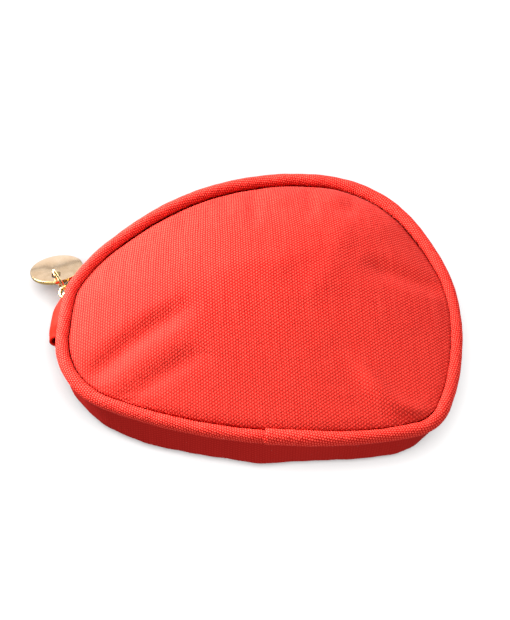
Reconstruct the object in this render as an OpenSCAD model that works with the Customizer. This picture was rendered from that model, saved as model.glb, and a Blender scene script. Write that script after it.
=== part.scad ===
// Zipped first aid pouch lying on its back. Millimetres, +Z up, origin in the middle of the face it rests on.
// The outline is eight arcs that run into one another; each sewn strip follows the arcs at its own inset.

/* [Outline] */
// width of the pouch over the piping
pouch_w = 140; // [100:1:200]
// depth of the pouch over the piping, front to back on the table
pouch_d = 114.5; // [80:0.5:180]
// radius of the long arc at the top, which the zip slider follows
top_arc_r = 89; // [70:0.5:120]
// how far the top arc, carried on round, would reach outside the left side
top_arc_out = 6; // [3:0.5:10]
// radius of the right side
right_arc_r = 85; // [60:0.5:120]
// place of the right side's widest point
right_arc_y = -9; // [-20:0.5:5]
// radius of the bottom edge
bottom_arc_r = 180; // [120:1:300]
// sideways place of the bottom edge's lowest point
bottom_arc_x = 15.5; // [0:0.5:30]
// radius of the left side
left_arc_r = 150; // [90:1:250]
// place of the left side's widest point
left_arc_y = -14.5; // [-25:0.5:-5]
// radius of the right shoulder
shoulder_r = 47; // [30:0.5:60]
// radius of the upper left corner
upper_left_r = 20; // [12:0.5:36]
// radius of the lower left corner
lower_left_r = 30.5; // [20:0.5:45]
// radius of the lower right corner
lower_right_r = 15.5; // [12:0.5:30]

/* [Front panel] */
// height of the piping's centre above the table
piping_z = 18; // [14:0.5:30]
// diameter of the piping
piping_d = 4.4; // [3:0.1:7]
// thickness of the piping's wrap
wrap_t = 0.6; // [0.4:0.1:1]
// rise of the panel from its edge to the middle
crown_h = 13.5; // [4:0.5:25]
// how much higher the crown is towards the back
crown_lean = 0.7; // [0:0.05:0.9]
// fullness of the crown: higher is flatter on top
crown_full = 2.2; // [1.6:0.1:4]
// line across the panel where the flap folds
fold_y = -3; // [-12:0.5:-2]
// gap at the fold between the fixed part and the flap
fold_gap = 0.4; // [0.2:0.1:1]
// thickness of the outer fabric
fabric_t = 0.8; // [0.5:0.1:1.5]
// thickness of the padding foam
foam_t = 2; // [1:0.1:4]
// thickness of the lining
lining_t = 0.4; // [0.2:0.1:0.8]
// gap between one layer and the next
layer_gap = 0.1; // [0.05:0.05:0.3]

/* [Wall and back] */
// distance of the wall's outer face inside the piping's outer edge
wall_inset = 1.6; // [1:0.1:3]
// radius of the wall's turn under the pouch
turn_r = 6; // [4:0.5:9]
// foam's edge inside the back panel's edge
foam_step = 0.7; // [0.3:0.1:2]
// how far the gusset's lining ends below its top edge
lining_step = 1; // [0.5:0.1:3]
// width of the back seam's binding
binding_w = 1.2; // [0.8:0.1:2]
// height of the back seam's binding
binding_h = 1.6; // [1:0.1:3]

/* [Zip] */
// height of the zip's middle above the table
zip_z = 11.5; // [9:0.5:20]
// thickness of the zip tape
tape_t = 0.6; // [0.4:0.1:1]
// height of the upright wall between the turn and the rear tape
zip_wall_h = 1; // [0.5:0.1:3]
// gap between the two tapes
tape_gap = 1.8; // [1.4:0.1:3]
// gap between the two coils
coil_gap = 1.1; // [0.9:0.1:2]
// height of one coil
coil_h = 2; // [1.4:0.1:3]
// how far the coil stands out from the tape
coil_t = 1.2; // [0.8:0.1:2]
// length along the edge of each tab over a zip end
tab_l = 19; // [10:0.5:30]
// how far a tab stands outside the piping
tab_out = 2.4; // [1:0.1:4]
// radius of a tab's rounded face
tab_r = 5.6; // [4:0.1:8]
// how far the tab's middle lies below the zip's middle
tab_low = 2.2; // [0:0.1:4]

/* [Slider and pull] */
// how far the closed slider's middle lies past the end of the top arc
slider_past = 0.3; // [-20:0.1:0.5]
// length of the slider along the zip
slider_l = 8.5; // [6:0.5:12]
// width of the slider across the zip
slider_w = 7; // [5:0.5:9]
// thickness of each slider plate
plate_t = 1; // [0.7:0.1:1.5]
// clearance between a slider plate and what it runs along
plate_gap = 0.6; // [0.5:0.05:1]
// thickness of the post between the plates
post_t = 0.5; // [0.4:0.1:0.8]
// length of the post along the zip
post_l = 4.5; // [3:0.5:6]
// radius of the bridge's arch
bridge_r = 3.2; // [2.2:0.1:4]
// radius of the bridge's bar
bridge_bar = 0.7; // [0.5:0.05:1]
// radius of the link's wire
wire_r = 0.55; // [0.4:0.05:0.7]
// radius of the link's ring
link_r = 3.2; // [3:0.1:5]
// clearance of the link's wire in the bridge
wire_gap = 0.05; // [0.02:0.01:0.1]
// how far the link leans back from the slider at rest, in degrees
link_lean = 30; // [20:1:55]
// radius of the disc pull
disc_r = 9.7; // [7:0.1:12]
// thickness of the disc
disc_t = 1; // [0.8:0.1:1.6]
// width of the disc's raised rim
rim_w = 0.8; // [0.5:0.1:1.5]
// how far the rim stands out on each face
rim_h = 0.15; // [0.1:0.05:0.3]
// metal between the disc's slot and its edge
slot_margin = 2.6; // [2:0.1:4]
// length of the disc's slot
slot_l = 4.6; // [3:0.1:6]
// width of the disc's slot
slot_w = 3.2; // [2.4:0.1:4]
// how far the link's wire stands off the slot's outer end
slot_play = 0.5; // [0.4:0.05:0.8]
// slope of the disc at rest, in degrees
disc_slope = 24; // [10:1:30]
// how far the disc is turned in the link, in degrees
disc_yaw = 25; // [0:1:30]

/* [Supplies] */
// gap between neighbouring supplies
supply_gap = 0.5; // [0.2:0.1:1.5]
// line across: packets lie in front of it, rolls behind it
supply_y = 0; // [-8:0.5:6]
// line between the left-hand packets and the right-hand ones
supply_x = 2.5; // [-8:0.5:8]
// diameter of the wide gauze roll
roll_wide_d = 17; // [14:0.5:20]
// length of the wide gauze roll
roll_wide_l = 52; // [40:1:58]
// diameter of the narrow gauze roll
roll_narrow_d = 15; // [12:0.5:17]
// length of the narrow gauze roll
roll_narrow_l = 40; // [30:1:42]
// diameter of the adhesive tape's winding
tape_roll_d = 22; // [18:0.5:23]
// width of the adhesive tape
tape_roll_w = 9.5; // [6:0.5:10.5]
// diameter of the tape's core
tape_core_d = 13; // [12:0.5:15]
// bore of the tape's core
tape_bore_d = 10; // [8:0.5:11]
// width of the triangular bandage packet
bandage_w = 55; // [40:0.5:58]
// depth of the triangular bandage packet
bandage_d = 33; // [25:0.5:36]
// height of the triangular bandage packet
bandage_h = 9; // [6:0.5:9]
// width of the compress packet
compress_w = 49; // [40:0.5:52]
// depth of the compress packet
compress_d = 41; // [30:0.5:42]
// height of the compress packet
compress_h = 6; // [4:0.5:6]
// width of the glove packet
glove_w = 43; // [30:0.5:46]
// depth of the glove packet
glove_d = 36; // [24:0.5:38]
// height of the glove packet
glove_h = 4.8; // [3:0.2:4.8]
// width of the plaster strips
plaster_w = 18.5; // [12:0.5:20]
// length of the plaster strips
plaster_l = 31; // [24:0.5:32]
// height of the plaster strips' stack
plaster_h = 2.6; // [1.6:0.2:2.6]
// side of the wound wipes' sachets
wipes_w = 31; // [24:0.5:32]
// height of the wipes' stack
wipes_h = 2.4; // [1.6:0.2:2.4]
// width of the rescue blanket packet
blanket_w = 21; // [16:0.5:22]
// depth of the rescue blanket packet
blanket_d = 28; // [20:0.5:29]
// height of the rescue blanket packet
blanket_h = 11; // [8:0.5:12]
// corner radius of the packets
packet_r = 3; // [1:0.5:5]
// corner radius of the thin stacks
stack_r = 1.5; // [0.5:0.5:3]
// length of the tweezers
tweezer_l = 58; // [45:1:60]
// width of the tweezers where the arms meet
tweezer_w = 5; // [4:0.5:6]
// width of the tweezers over their tips
tip_w = 2; // [1.6:0.1:3]
// gap between the tweezers' tips
tip_gap = 0.4; // [0.2:0.1:0.8]
// thickness of a tweezer arm
arm_t = 1; // [0.8:0.1:1.2]
// length of the tweezers' joined end
arm_joint_l = 8; // [5:0.5:12]
// height of the tweezers
tweezer_h = 2.2; // [1.5:0.1:3]

/* [Hidden] */
$fn = 64;
piping_r = piping_d / 2;
half_gap = fold_gap / 2;
wall_in = wall_inset + fabric_t;
wall_top = piping_z - piping_r - layer_gap;
zip_wall_top = turn_r + zip_wall_h;
turn_end = wall_inset + turn_r;
panel_inset = piping_d + 0.2;
lining_inset = panel_inset + 0.8;
foam_drop = fabric_t + layer_gap;
lining_drop = foam_drop + foam_t + layer_gap;
back_inset = turn_end + layer_gap;
foam_inset = back_inset + foam_step;
floor_z = fabric_t + foam_t + lining_t + 2 * layer_gap;
seat_z = floor_z + layer_gap;
step_deg = 8;
step_l = 6;
cord_r = (piping_r - wrap_t) * cos(180 / 14) - layer_gap;
binding_near = turn_end - 0.6;
rings = 7;

// the outline's arcs, counter-clockwise from the right side
top_c = [top_arc_r - pouch_w / 2 - top_arc_out, pouch_d / 2 - top_arc_r];
right_c = [pouch_w / 2 - right_arc_r, right_arc_y];
bottom_c = [bottom_arc_x, bottom_arc_r - pouch_d / 2];
left_c = [left_arc_r - pouch_w / 2, left_arc_y];

// centre of a circle of radius r inside two circles and touching both, on the side that toward points to
function touch_dir(c1, c2, toward) =
    let (e = (c2 - c1) / norm(c2 - c1), n = [-e[1], e[0]])
    (n * toward > 0) ? n : -n;
function touch_along(d, p, q) = (p * p - q * q + d * d) / (2 * d);
function touch(c1, r1, c2, r2, r, toward) =
    let (d = norm(c2 - c1), a = touch_along(d, r1 - r, r2 - r))
    let (h = sqrt(max(0, (r1 - r) * (r1 - r) - a * a)))
    c1 + a * (c2 - c1) / d + h * touch_dir(c1, c2, toward);

shoulder_c = touch(right_c, right_arc_r, top_c, top_arc_r, shoulder_r, [1, 1]);
upper_left_c = touch(top_c, top_arc_r, left_c, left_arc_r, upper_left_r, [-1, 1]);
lower_left_c = touch(left_c, left_arc_r, bottom_c, bottom_arc_r, lower_left_r, [-1, -1]);
lower_right_c = touch(bottom_c, bottom_arc_r, right_c, right_arc_r, lower_right_r, [1, -1]);

arc_c = [right_c, shoulder_c, top_c, upper_left_c, left_c, lower_left_c, bottom_c, lower_right_c];
arc_r = [
    right_arc_r, shoulder_r, top_arc_r, upper_left_r,
    left_arc_r, lower_left_r, bottom_arc_r, lower_right_r
];
// where each arc is cut by a line across: on its right-hand side, its left-hand side, or not at all
arc_side = [1, 1, 0, -1, -1, -1, 0, 1];

// angle at which arc i runs into the next one
function join_v(i, j) = (arc_r[i] > arc_r[j]) ? arc_c[j] - arc_c[i] : arc_c[i] - arc_c[j];
function join_at(i) =
    let (v = join_v(i, (i + 1) % 8))
    atan2(v[1], v[0]);
function arc_from(i) = join_at((i + 7) % 8);
function arc_sweep(i) = (join_at(i) - arc_from(i) + 720) % 360;
function arc_to(i) = arc_from(i) + arc_sweep(i);

// angle, inside the arc's own span, at which arc i crosses the line across at y
function cross_at(i, y, inset) =
    let (a = asin(max(-1, min(1, (y - arc_c[i][1]) / (arc_r[i] - inset)))))
    let (b = (arc_side[i] > 0) ? a : 180 - a)
    let (c = arc_from(i) + ((b - arc_from(i) + 900) % 360) - 180)
    max(arc_from(i), min(arc_to(i), c));

// part of arc i behind the fold (the flap's side) or before it
function flap_span(i, inset) =
    (i == 2) ? [arc_from(i), arc_to(i)] :
    (i == 6) ? [0, 0] :
    (arc_side[i] > 0) ? [cross_at(i, fold_y + half_gap, inset), arc_to(i)] :
    [arc_from(i), cross_at(i, fold_y + half_gap, inset)];
function fixed_span(i, inset) =
    (i == 6) ? [arc_from(i), arc_to(i)] :
    (i == 2) ? [0, 0] :
    (arc_side[i] > 0) ? [arc_from(i), cross_at(i, fold_y - half_gap, inset)] :
    [cross_at(i, fold_y - half_gap, inset), arc_to(i)];
function span(flap, i, inset) = flap ? flap_span(i, inset) : fixed_span(i, inset);
flap_order = [0, 1, 2, 3, 4];
fixed_order = [4, 5, 6, 7, 0];

// points along one arc, and along one side of the outline
function arc_point(i, a, inset) = arc_c[i] + (arc_r[i] - inset) * [cos(a), sin(a)];
function arc_points(i, s, inset) =
    let (n = max(1, ceil((s[1] - s[0]) / step_deg)))
    [for (k = [0 : n - 1]) arc_point(i, s[0] + (s[1] - s[0]) * k / n, inset)];
function side_open(flap, inset) =
    [for (i = flap ? flap_order : fixed_order)
        let (s = span(flap, i, inset))
        if (s[1] - s[0] > 0.01) for (p = arc_points(i, s, inset)) p];
function side_last(flap, inset) =
    let (i = flap ? 4 : 0, s = span(flap, i, inset))
    arc_point(i, s[1], inset);
function side_points(flap, inset) = concat(side_open(flap, inset), [side_last(flap, inset)]);
function loop_points(inset) =
    [for (i = [0 : 7]) for (p = arc_points(i, [arc_from(i), arc_to(i)], inset)) p];

// height of the crowned panel's top face; share runs from 0 at the fold's middle to 1 at the panel's edge
function crown_z(y, share) =
    piping_z + crown_h * (1 - pow(share, crown_full)) * (1 + crown_lean * y / (pouch_d / 2));
fold_top_z = crown_z(fold_y, 0);

// stations along one side of the outline, each an arc's number and an angle on it
function arc_steps(i, s) =
    let (turn = s[1] - s[0])
    max(1, ceil(turn * PI / 180 * arc_r[i] / step_l), ceil(turn / step_deg));
function arc_stations(i, s) =
    let (n = arc_steps(i, s))
    [for (k = [0 : n - 1]) [i, s[0] + (s[1] - s[0]) * k / n]];
function side_stations(flap, inset) =
    let (order = flap ? flap_order : fixed_order, end = order[4])
    concat(
        [for (i = order)
            let (s = span(flap, i, inset))
            if (s[1] - s[0] > 0.01) for (q = arc_stations(i, s)) q],
        [[end, span(flap, end, inset)[1]]]
    );
function at_station(q, p) =
    let (flat = arc_c[q[0]] + (arc_r[q[0]] + p[0]) * [cos(q[1]), sin(q[1])])
    [flat[0], flat[1], p[1]];

// an upright strip of fabric along the stations, from inset near to inset far and from z0 to z1
module strip(stations, near, far, z0, z1) {
    outer = [for (q = stations) at_station(q, [-near, 0])];
    inner = [for (k = [len(stations) - 1 : -1 : 0]) at_station(stations[k], [-far, 0])];
    translate([0, 0, z0])
        linear_extrude(z1 - z0)
            polygon([for (p = concat(outer, inner)) [p[0], p[1]]]);
}

// a profile carried along the stations; x of the profile runs outward from the piping's edge
function sweep_sides(n, m, from) =
    [for (k = [0 : n - 2]) for (j = [0 : m - 1])
        let (a = from + k * m + j, b = from + k * m + (j + 1) % m)
        [a, b, b + m, a + m]];
module sweep(stations, profile) {
    n = len(stations);
    m = len(profile);
    points = [for (q = stations) for (p = profile) at_station(q, p)];
    first_cap = [for (j = [m - 1 : -1 : 0]) j];
    last_cap = [for (j = [0 : m - 1]) (n - 1) * m + j];
    polyhedron(points, concat([first_cap, last_cap], sweep_sides(n, m, 0)));
}

// the same for a hollow profile: an outer and an inner loop with as many points each
module sweep_tube(stations, outer, inner) {
    n = len(stations);
    m = len(outer);
    shift = n * m;
    end = (n - 1) * m;
    outside = [for (q = stations) for (p = outer) at_station(q, p)];
    inside = [for (q = stations) for (p = inner) at_station(q, p)];
    bore = [for (f = sweep_sides(n, m, shift)) [f[3], f[2], f[1], f[0]]];
    first_cap = [for (j = [0 : m - 1]) [(j + 1) % m, j, shift + j, shift + (j + 1) % m]];
    last_cap = [for (f = first_cap) [f[3] + end, f[2] + end, f[1] + end, f[0] + end]];
    polyhedron(concat(outside, inside), concat(sweep_sides(n, m, 0), bore, first_cap, last_cap));
}

// points on an arc about c, counter-clockwise in the profile
function round_points(c, r, a0, a1, n) =
    [for (k = [0 : n])
        let (a = a0 + (a1 - a0) * k / n)
        c + r * [cos(a), sin(a)]];
function loop_round(c, r, n) = [for (k = [0 : n - 1]) c + r * [cos(360 * k / n), sin(360 * k / n)]];

// a crowned sheet over one side of the fold
module crown_sheet(flap, inset, drop, thick) {
    edge = side_points(flap, inset);
    n = len(edge) - 1;
    mid = [0, fold_y + (flap ? half_gap : -half_gap)];
    shares = [for (k = [1 : rings]) k / rings];
    flat = concat([[mid, 0]], [for (k = shares) for (p = edge) [mid + k * (p - mid), k]]);
    above = [for (q = flat) [q[0][0], q[0][1], crown_z(q[0][1], q[1]) - drop]];
    below = [for (p = above) p - [0, 0, thick]];
    m = len(above);
    middle_faces = [for (j = [0 : n - 1]) [0, 2 + j, 1 + j]];
    ring_faces = [for (k = [0 : rings - 2]) for (j = [0 : n - 1])
        for (f = ring_pair(1 + k * (n + 1) + j, n + 1)) f];
    tops = concat(middle_faces, ring_faces);
    bottoms = [for (f = tops) [f[2] + m, f[1] + m, f[0] + m]];
    last = 1 + (rings - 1) * (n + 1);
    rims = [for (j = [0 : n - 1]) [last + j, last + j + 1, last + j + 1 + m, last + j + m]];
    first_row = concat([0], [for (k = [0 : rings - 1]) 1 + k * (n + 1)]);
    last_row = concat([0], [for (k = [0 : rings - 1]) 1 + k * (n + 1) + n]);
    first_faces = [for (k = [0 : rings - 1]) wall_face(first_row[k], first_row[k + 1], m)];
    last_faces = [for (k = [0 : rings - 1]) wall_face(last_row[k + 1], last_row[k], m)];
    polyhedron(concat(above, below), concat(tops, bottoms, rims, first_faces, last_faces));
}
function ring_pair(a, w) = [[a, a + 1, a + w + 1], [a, a + w + 1, a + w]];
function wall_face(a, b, m) = [a, b, b + m, a + m];

// the wall's turn under the pouch, from the back panel's edge up to height z1 of the upright wall
turn_c = [-turn_end, turn_r];
turn_n = 5;
function turn_out() = round_points(turn_c, turn_r, -90, 0, turn_n);
function turn_back() = round_points(turn_c, turn_r - fabric_t, 0, -90, turn_n);
function wall_loop(z1) = concat(turn_out(), [[-wall_inset, z1], [-wall_in, z1]], turn_back());

// a packet with rounded corners, lying flat
module packet(size, r) {
    linear_extrude(size[2])
        union() {
            translate([r, 0])
                square([size[0] - 2 * r, size[1]]);
            translate([0, r])
                square([size[0], size[1] - 2 * r]);
            for (x = [r, size[0] - r], y = [r, size[1] - r])
                translate([x, y])
                    circle(r);
        }
}

/* back and wall */

module back_panel() {
    color("#c8281f")
        linear_extrude(fabric_t)
            polygon(loop_points(back_inset));
}

module back_foam() {
    color("#d8d8d4")
        translate([0, 0, fabric_t + layer_gap])
            linear_extrude(foam_t)
                polygon(loop_points(foam_inset));
}

module back_lining() {
    color("#8a8d90")
        translate([0, 0, floor_z - lining_t])
            linear_extrude(lining_t)
                polygon(loop_points(foam_inset));
}

module back_binding() {
    color("#3a3a3c")
        translate([0, 0, fabric_t + layer_gap])
            linear_extrude(binding_h)
                difference() {
                    polygon(loop_points(binding_near));
                    polygon(loop_points(binding_near + binding_w));
                }
}

module lower_gusset() {
    color("#b5241c")
        sweep(side_stations(false, wall_inset), wall_loop(wall_top));
}

module gusset_lining() {
    near = wall_in + layer_gap;
    color("#8a8d90")
        strip(side_stations(false, wall_inset), near, near + lining_t, turn_r, wall_top - lining_step);
}

module zip_gusset() {
    color("#b5241c")
        sweep(side_stations(true, wall_inset), wall_loop(zip_wall_top));
}

/* zip */

coil_face = wall_inset - layer_gap - coil_t;

module zip_strip(near, thick, z0, z1) {
    strip(side_stations(true, wall_inset), near, near + thick, z0, z1);
}

module zip_tape_rear() {
    color("#d63a2c")
        zip_strip(wall_inset, tape_t, zip_wall_top + layer_gap, zip_z - tape_gap / 2);
}

module zip_tape_front() {
    color("#d63a2c")
        zip_strip(wall_inset, tape_t, zip_z + tape_gap / 2, wall_top);
}

module zip_coil_rear() {
    color("#e0463a")
        zip_strip(coil_face, coil_t, zip_z - coil_gap / 2 - coil_h, zip_z - coil_gap / 2);
}

module zip_coil_front() {
    color("#e0463a")
        zip_strip(coil_face, coil_t, zip_z + coil_gap / 2, zip_z + coil_gap / 2 + coil_h);
}

// a tab over a zip end, seated on the gusset's outer face
tab_c = [tab_out - tab_r, zip_z - tab_low];
tab_seat = -wall_inset + layer_gap;
tab_half = acos((tab_seat - tab_c[0]) / tab_r);
tab_profile = round_points(tab_c, tab_r, -tab_half, tab_half, 10);

// stations of a tab, a length along the edge from the fold
function tab_stations(i, a, turn) = [for (k = [0 : 3]) [i, a + turn * k / 3]];
left_start = cross_at(4, fold_y - half_gap, wall_inset);
left_used = (arc_to(4) - left_start) * PI / 180 * left_arc_r;
left_rest = max(1, (tab_l - left_used) / lower_left_r * 180 / PI);
right_stop = cross_at(0, fold_y - half_gap, wall_inset);
right_turn = tab_l / right_arc_r * 180 / PI;

module end_tab_left() {
    side = arc_stations(4, [left_start, arc_to(4)]);
    corner = tab_stations(5, arc_from(5), left_rest);
    color("#f0503c")
        sweep(concat(side, corner), tab_profile);
}

module end_tab_right() {
    color("#f0503c")
        sweep(tab_stations(0, right_stop - right_turn, right_turn), tab_profile);
}

/* front panel */

module front_panel_lower() {
    color("#ee4238")
        crown_sheet(false, panel_inset, 0, fabric_t);
}

module front_foam_lower() {
    color("#d8d8d4")
        crown_sheet(false, lining_inset, foam_drop, foam_t);
}

module front_lining_lower() {
    color("#8a8d90")
        crown_sheet(false, lining_inset, lining_drop, lining_t);
}

module front_panel_flap() {
    color("#ee4238")
        crown_sheet(true, panel_inset, 0, fabric_t);
}

module front_foam_flap() {
    color("#d8d8d4")
        crown_sheet(true, lining_inset, foam_drop, foam_t);
}

module front_lining_flap() {
    color("#8a8d90")
        crown_sheet(true, lining_inset, lining_drop, lining_t);
}

piping_c = [-piping_r, piping_z];
piping_n = 14;

module piping(flap) {
    outer = loop_round(piping_c, piping_r, piping_n);
    inner = loop_round(piping_c, piping_r - wrap_t, piping_n);
    sweep_tube(side_stations(flap, piping_r), outer, inner);
}

module piping_cord(flap) {
    sweep(side_stations(flap, piping_r), loop_round(piping_c, cord_r, piping_n));
}

module piping_lower() {
    color("#e63c32")
        piping(false);
}

module piping_flap() {
    color("#e63c32")
        piping(true);
}

module piping_cord_lower() {
    color("#e9e4da")
        piping_cord(false);
}

module piping_cord_flap() {
    color("#e9e4da")
        piping_cord(true);
}

/* slider and pull */

slider_at = arc_to(2) + slider_past / top_arc_r * 180 / PI;
link_turn = slider_at - link_lean;

plate_base = layer_gap + coil_t - wall_inset + plate_gap;
plate_face = plate_base + plate_t;
inner_plate = -wall_inset - tape_t - plate_gap - plate_t;
pivot_out = plate_face + bridge_r - bridge_bar - wire_gap - wire_r;

module on_top_arc(a) {
    translate([top_c[0], top_c[1], 0])
        rotate([0, 0, a])
            children();
}

// part of a ring round the top arc's centre, centred on the closed slider
module slider_part(out, thick, length, width) {
    turn = length / top_arc_r * 180 / PI;
    on_top_arc(slider_at - turn / 2)
        rotate_extrude(angle = turn)
            translate([top_arc_r + out, zip_z - width / 2])
                square([thick, width]);
}

module slider_body() {
    color("#e8c98a")
        union() {
            slider_part(plate_base, plate_t, slider_l, slider_w);
            slider_part(inner_plate, plate_t, slider_l, slider_w);
            slider_part(inner_plate + plate_t / 2, plate_base - inner_plate, post_l, post_t);
            on_top_arc(slider_at)
                translate([top_arc_r + plate_face - 0.3, 0, zip_z])
                    rotate([0, 0, -90])
                        bridge();
        }
}

// an arch that stands on the plate, with short straight feet let into it
module bridge() {
    translate([0, 0.3, 0])
        rotate_extrude(angle = 180)
            translate([bridge_r, 0])
                circle(bridge_bar, $fn = 32);
    for (x = [-bridge_r, bridge_r])
        translate([x, 0.3, 0])
            rotate([90, 0, 0])
                cylinder(r = bridge_bar, h = 0.3, $fn = 32);
}

link_pivot = top_c + (top_arc_r + pivot_out) * [cos(slider_at), sin(slider_at)];
disc_pivot = link_pivot + 2 * link_r * [cos(link_turn), sin(link_turn)];

module pull_link() {
    color("#e8c98a")
        translate([link_pivot[0], link_pivot[1], zip_z])
            rotate([0, 0, link_turn])
                translate([link_r, 0, 0])
                    rotate([90, 0, 0])
                        rotate_extrude()
                            translate([link_r, 0])
                                circle(wire_r, $fn = 32);
}

module pull_disc() {
    middle = disc_r - slot_margin - slot_play - wire_r;
    color("#f2d8a4")
        translate([disc_pivot[0], disc_pivot[1], zip_z])
            rotate([0, 0, link_turn - disc_yaw])
                rotate([0, disc_slope, 0])
                    translate([middle, 0, 0])
                        disc_blank();
}

module disc_blank() {
    difference() {
        union() {
            cylinder(r = disc_r, h = disc_t, center = true);
            difference() {
                cylinder(r = disc_r, h = disc_t + 2 * rim_h, center = true);
                cylinder(r = disc_r - rim_w, h = disc_t + 4 * rim_h, center = true);
            }
        }
        translate([slot_margin - disc_r, 0, -disc_t])
            slot(slot_l, slot_w, 2 * disc_t);
    }
}

// a slot with round ends, along x from the origin
module slot(l, w, h) {
    translate([w / 2, 0, 0])
        cylinder(r = w / 2, h = h, $fn = 32);
    translate([l - w / 2, 0, 0])
        cylinder(r = w / 2, h = h, $fn = 32);
    translate([w / 2, -w / 2, 0])
        cube([l - w, w, h]);
}

/* supplies */

// packets in front of the line, on either side of the parting line
bandage_at = [supply_x - supply_gap - bandage_w, supply_y - supply_gap - bandage_d, seat_z];
compress_at = [supply_x + supply_gap, supply_y - supply_gap - compress_d, seat_z];
glove_side = (compress_w - glove_w) / 2;
glove_front = (compress_d - glove_d) / 2;
glove_at = compress_at + [glove_side, glove_front, compress_h + layer_gap];
stack_side = (bandage_w - plaster_w - supply_gap - wipes_w) / 2;
plaster_at = bandage_at + [stack_side, (bandage_d - plaster_l) / 2, bandage_h + layer_gap];
wipes_side = stack_side + plaster_w + supply_gap;
wipes_at = bandage_at + [wipes_side, (bandage_d - wipes_w) / 2, bandage_h + layer_gap];

// rolls behind the line: the tape roll keeps clear of the slider's inner plate, the rest follows it
back_room = wall_inset + tape_t + plate_gap + plate_t + supply_gap;
tweezer_y = supply_y + supply_gap;
roll_front = tweezer_y + tweezer_w + supply_gap;
tape_y = roll_front + tape_roll_d / 2;
tape_reach = top_arc_r - back_room - tape_roll_d / 2;
tape_x = top_c[0] - sqrt(tape_reach * tape_reach - (tape_y - top_c[1]) * (tape_y - top_c[1]));
roll_wide_x = tape_x + tape_roll_d / 2 + supply_gap;
roll_wide_y = roll_front + roll_wide_d / 2;
roll_narrow_x = roll_wide_x + (roll_wide_l - roll_narrow_l) / 2;
roll_narrow_y = roll_wide_y + (roll_wide_d + roll_narrow_d) / 2 + supply_gap;
blanket_x = roll_wide_x + roll_wide_l + supply_gap;
tweezer_x = blanket_x - supply_gap - tweezer_l;

module triangular_bandage() {
    color("#f2f0e8")
        translate(bandage_at)
            packet([bandage_w, bandage_d, bandage_h], packet_r);
}

module compress_pack() {
    color("#e6eef2")
        translate(compress_at)
            packet([compress_w, compress_d, compress_h], packet_r);
}

module glove_pack() {
    color("#cfe2ee")
        translate(glove_at)
            packet([glove_w, glove_d, glove_h], packet_r);
}

module plaster_strips() {
    color("#e3b98e")
        translate(plaster_at)
            packet([plaster_w, plaster_l, plaster_h], stack_r);
}

module wound_wipes() {
    color("#dfe9f5")
        translate(wipes_at)
            packet([wipes_w, wipes_w, wipes_h], stack_r);
}

// a roll of gauze lying across
module gauze_roll(x, y, d, l) {
    translate([x, y, seat_z + d / 2])
        rotate([0, 90, 0])
            cylinder(d = d, h = l);
}

module gauze_roll_wide() {
    color("#f6f4ee")
        gauze_roll(roll_wide_x, roll_wide_y, roll_wide_d, roll_wide_l);
}

module gauze_roll_narrow() {
    color("#f6f4ee")
        gauze_roll(roll_narrow_x, roll_narrow_y, roll_narrow_d, roll_narrow_l);
}

// a ring that stands on the floor
module tape_ring(d, bore) {
    translate([tape_x, tape_y, seat_z])
        difference() {
            cylinder(d = d, h = tape_roll_w);
            translate([0, 0, -1])
                cylinder(d = bore, h = tape_roll_w + 2);
        }
}

module tape_winding() {
    color("#f4efe2")
        tape_ring(tape_roll_d, tape_core_d + 2 * layer_gap);
}

module tape_core() {
    color("#3f7fb8")
        tape_ring(tape_core_d, tape_bore_d);
}

module rescue_blanket() {
    color("#d9c27a")
        translate([blanket_x, supply_y + supply_gap, seat_z])
            packet([blanket_w, blanket_d, blanket_h], packet_r);
}

// two arms that meet at one end, lying on their side
module tweezers() {
    mid = tweezer_w / 2;
    root = arm_t * (1 + tip_gap);
    color("#c9ccd0")
        translate([tweezer_x, tweezer_y, seat_z])
            linear_extrude(tweezer_h)
                polygon([
                    [0, 0],
                    [tweezer_l, mid - tip_w / 2],
                    [tweezer_l, mid - tip_gap / 2],
                    [arm_joint_l, root],
                    [arm_joint_l, tweezer_w - root],
                    [tweezer_l, mid + tip_gap / 2],
                    [tweezer_l, mid + tip_w / 2],
                    [0, tweezer_w]
                ]);
}

back_panel();
back_foam();
back_lining();
back_binding();
lower_gusset();
gusset_lining();
zip_gusset();
zip_tape_rear();
zip_coil_rear();
zip_tape_front();
zip_coil_front();
end_tab_left();
end_tab_right();
front_panel_lower();
front_foam_lower();
front_lining_lower();
piping_lower();
piping_cord_lower();
front_panel_flap();
front_foam_flap();
front_lining_flap();
piping_flap();
piping_cord_flap();
slider_body();
pull_link();
pull_disc();
triangular_bandage();
compress_pack();
glove_pack();
plaster_strips();
wound_wipes();
gauze_roll_wide();
gauze_roll_narrow();
tape_winding();
tape_core();
rescue_blanket();
tweezers();
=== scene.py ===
"""Soft red zipped first aid pouch lying on its back: fabric, zip, gold pull and packed supplies."""
import math

import bpy
import numpy as np
from mathutils import Euler, Matrix, Vector


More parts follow.
